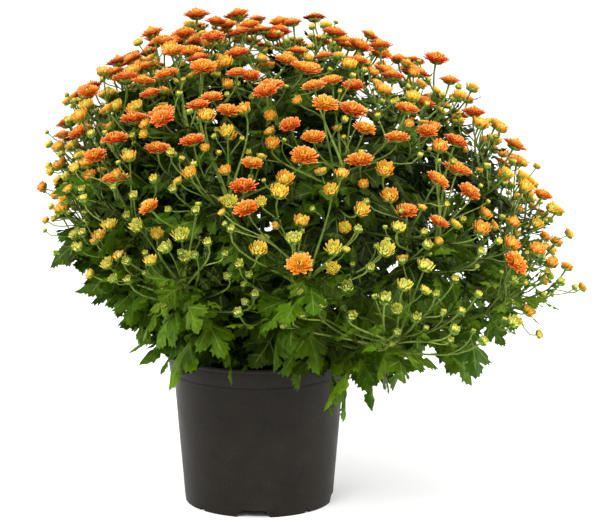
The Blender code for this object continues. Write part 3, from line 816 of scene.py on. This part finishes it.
# a side stalk, from the flower's stalk to a smaller head, with a bract at its foot
sideStalk = {
    "before": (0.026, 0.046),  # m, it starts this far before the stalk's end
    "lowest": 0.15,  # of the stalk's length
    "pulls": (0.35, 0.1, 0.35),  # first along the stalk and to its own end, then along the small head's axis
    "sunk": 0.0004,
    "radii": (0.95, 0.78),  # at its foot and above, of the stalk's radius
    "steps": 5,
    "sides": 5,
    "heights": (0.6, 1.0),
}


def growSideStalk(growing, side, line, span, straight, rng):
    radius, last = stalkStyle["radius"], len(line) - 1
    t = max(sideStalk["lowest"], 1 - rng.uniform(*sideStalk["before"]) / span)
    start, tip = line[int(t * last)], side["neck"]
    reach = (tip - start).length
    outwards, tipwards, back = sideStalk["pulls"]
    bend = start + straight * reach * outwards + (tip - start) * tipwards
    end = tip + side["axis"] * sideStalk["sunk"]
    branch = bezier(start, bend, tip - side["axis"] * reach * back, end, sideStalk["steps"])
    foot, above = sideStalk["radii"]
    points, faces = tube(branch, [radius * foot] + [radius * above] * sideStalk["steps"], sideStalk["sides"])
    growing.add(points, faces, finishes["stem"], (rng.uniform(*sideStalk["heights"]), rng.random(), 0, 0))
    out = ((tip - start).normalized() + straight * bractStyle["upwards"]).normalized()
    growBract(growing, start, out, rng.uniform(*bractStyle["lengths"]), rng)
    growHead(growing, side, rng)


# small leaves along the flower stalks
stalkLeaves = {
    "every": 0.013,  # m, with the first and last this far from the stalk's ends
    "free": (0.006, 0.024),
    "places": (0.1, 0.9),  # where in its own stretch of the stalk each grows
    "last": 0.9,  # of the stalk's length
    "turns": (-0.7, 0.7),
    "outwards": 0.9,  # it grows out and up the stalk by these weights
    "upwards": (0.3, 0.9),
    "lowest": (-0.3, 0.1),  # and no steeper down than this
    "rolls": (-0.5, 0.5),
    "lengths": (0.020, 0.044),
    "uneven": (0.5, 1.1),
    "fullAt": 0.035,  # m, on a stalk of this length or more
    "droops": (0.05, 0.4),
}


def growStalkLeaves(growing, line, span, straight, rng):
    first, free = stalkLeaves["free"]
    last = len(line) - 1
    for k in range(int(max(0, span - first - free) / stalkLeaves["every"]) + 1):
        reach = first + (k + rng.uniform(*stalkLeaves["places"])) * stalkLeaves["every"]
        t = min(stalkLeaves["last"], reach / span)
        place = line[int(t * last)].lerp(line[int(t * last) + 1], t * last % 1)
        out = around(straight, k * golden + rng.uniform(*stalkLeaves["turns"])) * stalkLeaves["outwards"]
        along = out + straight * rng.uniform(*stalkLeaves["upwards"])
        along.z = max(along.z, rng.uniform(*stalkLeaves["lowest"]))
        along.normalize()
        roll = rng.uniform(*stalkLeaves["rolls"])
        length = between(stalkLeaves["lengths"], (1 - t) * rng.uniform(*stalkLeaves["uneven"]))
        length *= min(1, span / stalkLeaves["fullAt"])
        leaf = leafAt(place, along, roll, length, rng.uniform(*stalkLeaves["droops"]))
        if leafFits(leaf):
            growLeaf(growing, leaf, "small", rng)


def growStalk(growing, head, rng):
    # from the stem, bending in under its flower; with small leaves, and side stalks that carry smaller heads
    root, neck, axis = head["root"], head["neck"], head["axis"]
    span = (neck - root).length
    straight = (neck - root).normalized()
    sag = Vector([rng.uniform(*stalkStyle["sag"]) for _ in range(3)]) * span
    (rootSunk, neckSunk), (rootPull, neckPull) = stalkStyle["sunk"], stalkStyle["pulls"]
    line = bezier(root - straight * rootSunk, root + straight * span * rootPull + sag,
                  neck - axis * span * neckPull, neck + axis * neckSunk, stalkStyle["steps"])
    radius, last = stalkStyle["radius"], len(line) - 1
    thins, flare = stalkStyle["thins"], stalkStyle["flare"]
    most, longest = stalkStyle["foot"]
    thick = 1 + min(most, span / longest)
    radii = [radius * between((thick, 1.0), min(1, thins * k / last)) for k in range(last)] + [radius * flare]
    points, faces = tube(line, radii, stalkStyle["sides"])
    growing.add(points, faces, finishes["stem"], (rng.uniform(*stalkStyle["heights"]), rng.random(), 0, 0))
    growStalkLeaves(growing, line, span, straight, rng)
    for side in head["sides"]:
        growSideStalk(growing, side, line, span, straight, rng)


def growStem(growing, shoot):
    stations, steps = shoot["stations"], stemStyle["steps"]
    line = smoothLine([place for place, _ in stations], steps)
    radii = []
    for (_, first), (_, second) in zip(stations, stations[1:]):
        radii += [first + (second - first) * k / steps for k in range(steps)]
    radii.append(stations[-1][1])
    points, faces = tube(line, radii, stemStyle["sides"], stemStyle["ridge"])
    values = np.zeros((len(points), 4))
    values[:, 0] = np.repeat(np.linspace(0, 1, len(line)), stemStyle["sides"])
    values[:, 1] = 0.5
    growing.add(points, faces, finishes["stem"], values)
    return line


# More leaves than the solids have: along the stems, dark inside and lighter outside by painted shade,
# and over the pot's rim

leafRoom = {
    # the points of a leaf that are tested, along and across it
    "tested": ((0.33, 0.28), (0.7, 0.35), (1.0, 0.0), (0.7, -0.35), (0.33, -0.28)),
    "potRadius": 0.111,  # clear of the pot inside this, below this height
    "potHeight": 0.180,
    "lipClear": ((-0.055, 0.085), -0.095, 0.184),  # none between these, in front of this, below this
    "lowest": 0.090,
    "underFlowers": 0.004,
    "bloomReach": 0.022,  # no flower is wider than this
    "lone": (0.12, 0.30),  # none further than this from every flower, above this height
}


def leafFits(leaf):
    # clear of the pot, of its lip at the front, of the ground and of the flowers, but not far past them
    across = leaf["normal"].cross(leaf["along"])
    (left, right), front, below = leafRoom["lipClear"]
    lone, high = leafRoom["lone"]
    for x, y in leafRoom["tested"]:
        fall = leaf["droop"] * x * x + leafStyle["folds"][0] * abs(y)
        place = leaf["base"] + (leaf["along"] * x + across * y - leaf["normal"] * fall) * leaf["length"]
        if place.z < leafRoom["potHeight"] and math.hypot(place.x, place.y) < leafRoom["potRadius"]:
            return False
        if place.z < leafRoom["lowest"] or (left < place.x < right and place.y < front and place.z < below):
            return False
        for _, number, gap in blooms.find_range(place, leafRoom["bloomReach"]):
            if gap < bloomRadii[number] + leafRoom["underFlowers"]:
                return False
        if blooms.find(place)[2] > lone and place.z > high:
            return False
    return True


innerLeaves = {
    "count": 36,  # on each stem
    "bareFoot": 8,  # the first eighth of a stem is bare
    "skirt": (0.145, 0.275, 0.55),  # outside this radius, below this height, one is given up with this chance
    "turns": (-0.5, 0.5),
    "upwards": (0.1, 1.1),  # it grows out, up the stem and down, by weights in these ranges
    "downwards": (0, 1.1),
    "rolls": (-0.9, 0.9),
    "lengths": (0.046, 0.078),
    "shorter": (1.08, 0.35),  # times this low on the stem, and less by this at its end
    "droops": (0.1, 0.5),
    # painted shade: the inner leaves' colour darkens towards the plant's middle
    "shade": 1.1,  # how fast they darken inwards
    "tries": 6,
}


def growInnerLeaves(growing, line, rng):
    # in a spiral up the stem
    first = len(line) // innerLeaves["bareFoot"]
    skirt, below, bare = innerLeaves["skirt"]
    longest, shorter = innerLeaves["shorter"]
    for k in range(innerLeaves["count"]):
        for _ in range(innerLeaves["tries"]):
            share = (k + rng.random()) / innerLeaves["count"]
            place = int(first + (len(line) - 2 - first) * share)
            base = line[place]
            if math.hypot(base.x, base.y) > skirt and base.z < below and rng.random() < bare:
                break
            straight = (line[place + 1] - base).normalized()
            azimuth = k * golden + rng.uniform(*innerLeaves["turns"])
            flat = Vector((math.cos(azimuth), math.sin(azimuth), 0))
            upwards = straight * rng.uniform(*innerLeaves["upwards"])
            along = (flat + upwards - up * rng.uniform(*innerLeaves["downwards"])).normalized()
            roll = rng.uniform(*innerLeaves["rolls"])
            length = rng.uniform(*innerLeaves["lengths"]) * (longest - shorter * share)
            leaf = leafAt(base, along, roll, length, rng.uniform(*innerLeaves["droops"]))
            if leafFits(leaf):
                # painted shade: the nearer the leaf's tip is to the plant's middle, the darker
                out = (base + along * length - crown).length / (line[-1] - crown).length
                growLeaf(growing, leaf, "inner", rng, max(0, min(1, innerLeaves["shade"] * (1 - out))))
                break


rimLeaves = {
    "height": 0.196,  # they grow from here on the stem
    "skipped": 4,  # points at the foot of its line
    "turns": (-0.5, 0.5),
    "tilts": (-0.05, 0.30),
    "rolls": (-0.35, 0.35),
    "lengths": (0.070, 0.088),
    "droops": (0.45, 0.75),
    "tries": 18,
}


def growRimLeaf(growing, line, rng):
    # from low on an outer stem, out over the lip and down
    base = min(line[rimLeaves["skipped"]:], key=lambda point: abs(point.z - rimLeaves["height"]))
    for _ in range(rimLeaves["tries"]):
        azimuth = math.atan2(base.y, base.x) + rng.uniform(*rimLeaves["turns"])
        tilt = rng.uniform(*rimLeaves["tilts"])
        level = math.cos(tilt)
        along = Vector((math.cos(azimuth) * level, math.sin(azimuth) * level, math.sin(tilt)))
        roll, length = rng.uniform(*rimLeaves["rolls"]), rng.uniform(*rimLeaves["lengths"])
        leaf = leafAt(base, along, roll, length, rng.uniform(*rimLeaves["droops"]))
        if leafFits(leaf):
            growLeaf(growing, leaf, "large", rng)
            return


# Pot

potStyle = {
    "plastic": ((0.30, "#1a1713"), (0.70, "#221e19")),
    "cloud": 26.0,  # mm, the mottle
    "speck": 1.6,  # mm, the dust, and the mould's grain, drawn coarser than it is so that it shows
    "dust": "#7d7a72",
    "dustReach": (0.60, 0.80),
    "dullest": 0.52,
    "glossiest": 0.40,
    "sides": 144,
    "sharp": 35,  # degrees between two faces that meet in an edge
    # (radius, height) in mm, from the middle of the floor's underside up outside and down inside
    "outline": (
        (4, 0), (39.6, 0), (40.6, 0.8), (40.9, 7.5), (41.6, 8), (79.6, 8), (80.3, 7.5), (80.7, 0.7),
        (81.1, 0), (82.9, 0), (83.4, 0.5), (86.7, 40), (90.1, 80), (93.4, 120), (95.5, 145.2), (95.7, 146.8),
        (96.4, 147.4), (98.6, 147.8), (99.5, 148.3), (99.9, 149.4), (100.3, 152.2), (100.1, 152.6),
        (100.4, 153), (102.5, 168.3), (102.3, 169.6), (102.9, 170.4), (105.7, 170.6), (107.1, 171.2),
        (107.9, 172.4), (107.9, 174.1), (107.2, 175.4), (105.9, 176.0), (104.2, 176.0), (102.9, 175.6),
        (101.9, 174.6), (101.1, 171.5), (98.1, 150.8), (97.4, 149.8), (94.2, 147.6), (93.7, 146.4),
        (81.9, 11), (81.3, 10.2), (80.4, 10), (39.5, 10), (38.8, 9.4), (38.2, 2.7), (37.5, 2), (4, 2),
    ),
    # notches in the foot: (width at the top, width at the ground, height, first azimuth in degrees), in mm
    "notches": ((27, 38, 8.0, -94), (4, 8, 3.6, -49)),
    "notchCount": 4,
    "notchReach": (71, 94, -4),  # from this radius to that, and from this far below the ground
}


def potMaterial():
    # Injection moulded polypropylene, charcoal brown: satin, with a faint mottle, fine grain and some dust
    name = "moulded polypropylene, charcoal"
    made, tree, shader = startMaterial(name, roughness=0.46, ior=1.49, specular=0.10)
    where = addNode(tree, "ShaderNodeTexCoord", out="Object")
    mottle = addNode(tree, "ShaderNodeTexNoise", Vector=where, Scale=1000 / potStyle["cloud"], Detail=4)
    plastic = addNode(tree, "ShaderNodeValToRGB", {"stops": potStyle["plastic"]}, i0=mottle)
    speck = addNode(tree, "ShaderNodeTexNoise", Vector=where, Scale=1000 / potStyle["speck"], Detail=2)
    plastic = tintedBy(tree, plastic, speck, potStyle["dustReach"], 0.12, potStyle["dust"])
    tree.links.new(plastic, shader.inputs["Base Color"])
    sheen = {"To_Min": potStyle["glossiest"], "To_Max": potStyle["dullest"]}
    rough = addNode(tree, "ShaderNodeMapRange", Value=mottle, From_Min=0.3, From_Max=0.7, **sheen)
    tree.links.new(rough, shader.inputs["Roughness"])
    relief = addNode(tree, "ShaderNodeBump", Strength=0.10, Distance=0.0003, Height=speck)
    tree.links.new(relief, shader.inputs["Normal"])
    return made


def makeNotches():
    # prisms that cut the drainage notches, wider towards the ground
    inside, outside, low = potStyle["notchReach"]
    cutters = bpy.data.collections.new("notches")
    for top, ground, height, first in potStyle["notches"]:
        wide = ground / 2 + (ground - top) / 2 * -low / height
        outline = ((-wide, low), (wide, low), (top / 2, height), (-top / 2, height))
        for k in range(potStyle["notchCount"]):
            prism = bpy.data.meshes.new("notch")
            corners = [(r / 1000, y / 1000, z / 1000) for r in (inside, outside) for y, z in outline]
            prism.from_pydata(corners, [], boxFaces.tolist())
            prism.transform(Matrix.Rotation(math.radians(first + 360 * k / potStyle["notchCount"]), 4, "Z"))
            cutters.objects.link(bpy.data.objects.new("notch", prism))
    return cutters


def makePot():
    points, (body, ends) = lathe([(r / 1000, z / 1000) for r, z in potStyle["outline"]], potStyle["sides"])
    mesh = bpy.data.meshes.new("nursery_pot")
    mesh.from_pydata(points.tolist(), [], body.tolist() + ends.tolist())
    piece = linked(mesh, "nursery_pot")
    cutters = makeNotches()
    cut = piece.modifiers.new("notches", "BOOLEAN")
    cut.operand_type, cut.collection, cut.solver = "COLLECTION", cutters, "EXACT"
    bpy.context.scene.collection.children.link(cutters)
    bpy.context.view_layer.update()
    piece.data = bpy.data.meshes.new_from_object(piece.evaluated_get(bpy.context.evaluated_depsgraph_get()))
    piece.modifiers.clear()
    for cutter in list(cutters.objects):
        bpy.data.objects.remove(cutter)
    bpy.data.collections.remove(cutters)
    piece.data.shade_smooth()
    piece.data.set_sharp_from_angle(angle=math.radians(potStyle["sharp"]))
    piece.data.materials.clear()
    piece.data.materials.append(potMaterial())
    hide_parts("pot")
    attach(piece, "root")


# Soil

soilStyle = {
    "tints": ((0.32, "#120d09"), (0.55, "#281d14"), (0.75, "#4b3a2a")),
    "crumb": 4.0,  # mm
    "sides": 96,
    # (radius, height) in mm, a small gap inside the pot's wall
    "outline": ((4, 2.4), (37.4, 2.4), (38.3, 10.4), (81.1, 10.4), (93.4, 147.6), (97.3, 151.4), (97.3, 156)),
    "topRings": 26,
    "topHeight": (0.1562, 0.1580),  # at the wall and in the middle
    "lump": (0.0022, 0.010),  # how high and how wide the lumps are
    "lumps": ((1, 1, 3), (0.5, 2.3, 8)),  # two layers: how strong, how many times finer, slice of the noise
    "chips": 190,
    "chipSizes": (0.0016, 0.0050),  # half its length
    "chipWidths": (0.4, 0.9),  # of that
    "chipHeights": (0.15, 0.4),
    "chipCorners": (0.6, 1.2),  # each corner is moved by such factors
    "chipSpin": 7,  # it is turned by this many times its azimuth
    "chipTilts": (-0.5, 0.5),
    "chipLift": 0.1,
    "chipsWithin": 0.094,
    "sharp": 40,  # degrees between two faces that meet in an edge
    "seed": 7,
}


def soilMaterial():
    # Moist peat and bark mix: nearly black, matt and crumbly, with lighter fibres
    made, tree, shader = startMaterial("potting mix, moist peat and bark", roughness=0.92, ior=1.40)
    where = addNode(tree, "ShaderNodeTexCoord", out="Object")
    crumb = addNode(tree, "ShaderNodeTexNoise", Vector=where, Scale=1000 / soilStyle["crumb"], Detail=6)
    base = addNode(tree, "ShaderNodeValToRGB", {"stops": soilStyle["tints"]}, i0=crumb)
    tree.links.new(base, shader.inputs["Base Color"])
    relief = addNode(tree, "ShaderNodeBump", Strength=0.9, Distance=0.002, Height=crumb)
    tree.links.new(relief, shader.inputs["Normal"])
    return made


def soilHeight(x, y):
    # low and flat at the wall, so that the lumps don't reach it
    share = min(1, math.hypot(x, y) / (soilStyle["outline"][-1][0] / 1000))
    tall, wide = soilStyle["lump"]
    lump = 0
    for strength, finer, layer in soilStyle["lumps"]:
        lump += strength * noise.noise(Vector((x / wide * finer, y / wide * finer, layer)))
    return between(soilStyle["topHeight"][::-1], share**3) + tall * lump * (1 - share**8)


def makeSoil():
    rng = Random(soilStyle["seed"])
    growing = Growing("potting_soil")
    outline = [(r / 1000, z / 1000) for r, z in soilStyle["outline"]]
    rings = soilStyle["topRings"]
    outline += [(outline[-1][0] * (1 - k / rings), soilStyle["topHeight"][0]) for k in range(1, rings)]
    points, faces = lathe(outline, soilStyle["sides"])
    for point in points[len(soilStyle["outline"]) * soilStyle["sides"]:]:
        point[2] = soilHeight(point[0], point[1])
    growing.add(points, faces, 0, (0, 0, 0, 0))
    corners = np.array([(x, y, z) for z in (-1, 1) for x, y in ((-1, -1), (1, -1), (1, 1), (-1, 1))], float)
    for _ in range(soilStyle["chips"]):
        reach, turn = soilStyle["chipsWithin"] * math.sqrt(rng.random()), rng.uniform(0, 2 * math.pi)
        x, y = reach * math.cos(turn), reach * math.sin(turn)
        size = rng.uniform(*soilStyle["chipSizes"])
        width = size * rng.uniform(*soilStyle["chipWidths"])
        chip = corners * (size, width, size * rng.uniform(*soilStyle["chipHeights"]))
        chip *= [[rng.uniform(*soilStyle["chipCorners"]) for _ in range(3)] for _ in corners]
        tilted = Matrix.Rotation(rng.uniform(*soilStyle["chipTilts"]), 3, "X")
        tumbled = Matrix.Rotation(turn * soilStyle["chipSpin"], 3, "Z") @ tilted
        chip = chip @ np.array(tumbled).T + (x, y, soilHeight(x, y) + size * soilStyle["chipLift"])
        growing.add(chip, boxFaces, 0, (0, 0, 0, 0))
    piece = growing.makePiece([soilMaterial()])
    piece.data.set_sharp_from_angle(angle=math.radians(soilStyle["sharp"]))
    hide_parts("soil")
    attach(piece, "root")


# The plant

plantStyle = {"seed": 61, "rimLeavesFrom": 22}  # stems from this one have a leaf over the pot's rim

plantMaterials = [stemMaterial(), leafMaterial(), petalMaterial(), scaleMaterial()]
shoots = [readShoot(name) for name in sorted(frame["nodes"]) if name.startswith("stem_")]
heads = [head for shoot in shoots for head in shoot["heads"]]
for head in heads:
    if head["kind"] == "half" and sunHeight(head) < headStyle["closedBelow"][0]:
        head["kind"], head["radius"] = "bud", head["radius"] * headStyle["closedBelow"][1]
print("frame read:", len(heads), "heads,", sum(len(shoot["leaves"]) for shoot in shoots), "leaves")

most = 3 * len(heads)  # each head and its two side heads at most
taken = {"places": np.zeros((most, 3)), "radii": np.zeros(most), "count": len(heads)}
for number, head in enumerate(heads):
    taken["places"][number] = middleOfHead(head)
    taken["radii"][number] = head["radius"]
rng = Random(plantStyle["seed"])
for head in heads:
    planSideHeads(head, taken, rng)
bloomRadii = taken["radii"][:taken["count"]]
blooms = KDTree(taken["count"])
for number in range(taken["count"]):
    blooms.insert(taken["places"][number], number)
blooms.balance()
print("flowers planned:", taken["count"])

triangles = 0
for number, shoot in enumerate(shoots):
    growing = Growing("leafy_" + shoot["name"])
    rng = Random(plantStyle["seed"] * 1000 + number)
    line = growStem(growing, shoot)
    for leaf in shoot["leaves"]:
        growLeaf(growing, leaf, "large", rng)
    growInnerLeaves(growing, line, rng)
    if number >= plantStyle["rimLeavesFrom"]:
        growRimLeaf(growing, line, rng)
    for head in shoot["heads"]:
        growStalk(growing, head, rng)
        growHead(growing, head, rng)
    piece = growing.makePiece(plantMaterials)
    triangles += sum(len(face.vertices) - 2 for face in piece.data.polygons)
    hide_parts(shoot["name"])
    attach(piece, "root")
print("stems grown:", len(shoots), "with", triangles, "triangles")

makePot()
makeSoil()
print("pot and soil made")


# Floor, light and camera

studio = {
    "floor": 14.0,  # half its width
    "floorTint": "#fbfbfa",
    "skyTint": "#ffffff",
    "skyPower": (0.44, 1.22),  # at the horizon, and from skyTop up
    "skyTop": 0.7,  # the sine of that elevation
    # softboxes: (name, power, place, size)
    "lights": (("key", 170.0, (-1.3, -2.5, 3.2), 2.0), ("fill", 30.0, (2.6, -1.4, 1.6), 2.0),
               ("left edge", 10.0, (-2.4, 0.9, 1.0), 1.2), ("right edge", 48.0, (2.4, 0.4, 1.0), 1.2)),
    "target": (0.0464, 0.0, 0.2714),
    "distance": 4.0,
    "elevation": 12.5,
    "width": 0.6714,  # how wide the picture is at the target
    "sensor": 36.0,
    "farthest": 60,
}


def makeStudio():
    half = studio["floor"]
    mesh = bpy.data.meshes.new("floor")
    corners = [(-half, -half, 0), (half, -half, 0), (half, half, 0), (-half, half, 0)]
    mesh.from_pydata(corners, [], [(0, 1, 2, 3)])
    paper, _, shader = startMaterial("matt white paper", roughness=0.9, ior=1.45, specular=0.2)
    shader.inputs["Base Color"].default_value = colour(studio["floorTint"])
    mesh.materials.append(paper)
    linked(mesh, "floor")
    world = bpy.data.worlds.new("white studio")
    world.use_nodes = True
    sky = world.node_tree.nodes["Background"]
    sky.inputs["Color"].default_value = colour(studio["skyTint"])
    toSky = addNode(world.node_tree, "ShaderNodeTexCoord", out="Generated")
    height = addNode(world.node_tree, "ShaderNodeSeparateXYZ", out="Z", i0=toSky)
    reach = {"From_Max": studio["skyTop"], "To_Min": studio["skyPower"][0], "To_Max": studio["skyPower"][1]}
    power = addNode(world.node_tree, "ShaderNodeMapRange", Value=height, **reach)
    world.node_tree.links.new(power, sky.inputs["Strength"])
    bpy.context.scene.world = world
    target = Vector(studio["target"])
    for name, power, place, size in studio["lights"]:
        light = bpy.data.lights.new(name + " softbox", "AREA")
        light.energy, light.size = power, size
        lamp = linked(light, name + " softbox")
        lamp.location = place
        lamp.rotation_euler = (target - lamp.location).to_track_quat("-Z", "Y").to_euler()


def makeCamera():
    target, tilt = Vector(studio["target"]), math.radians(studio["elevation"])
    lens = bpy.data.cameras.new("camera")
    lens.sensor_width = studio["sensor"]
    lens.lens = studio["sensor"] * studio["distance"] / studio["width"]
    lens.clip_end = studio["farthest"]
    camera = linked(lens, "camera")
    camera.location = target + Vector((0, -math.cos(tilt), math.sin(tilt))) * studio["distance"]
    camera.rotation_euler = (target - camera.location).to_track_quat("-Z", "Y").to_euler()
    bpy.context.scene.camera = camera


makeStudio()
makeCamera()
bpy.context.scene.view_settings.view_transform = "Standard"
print("studio ready")
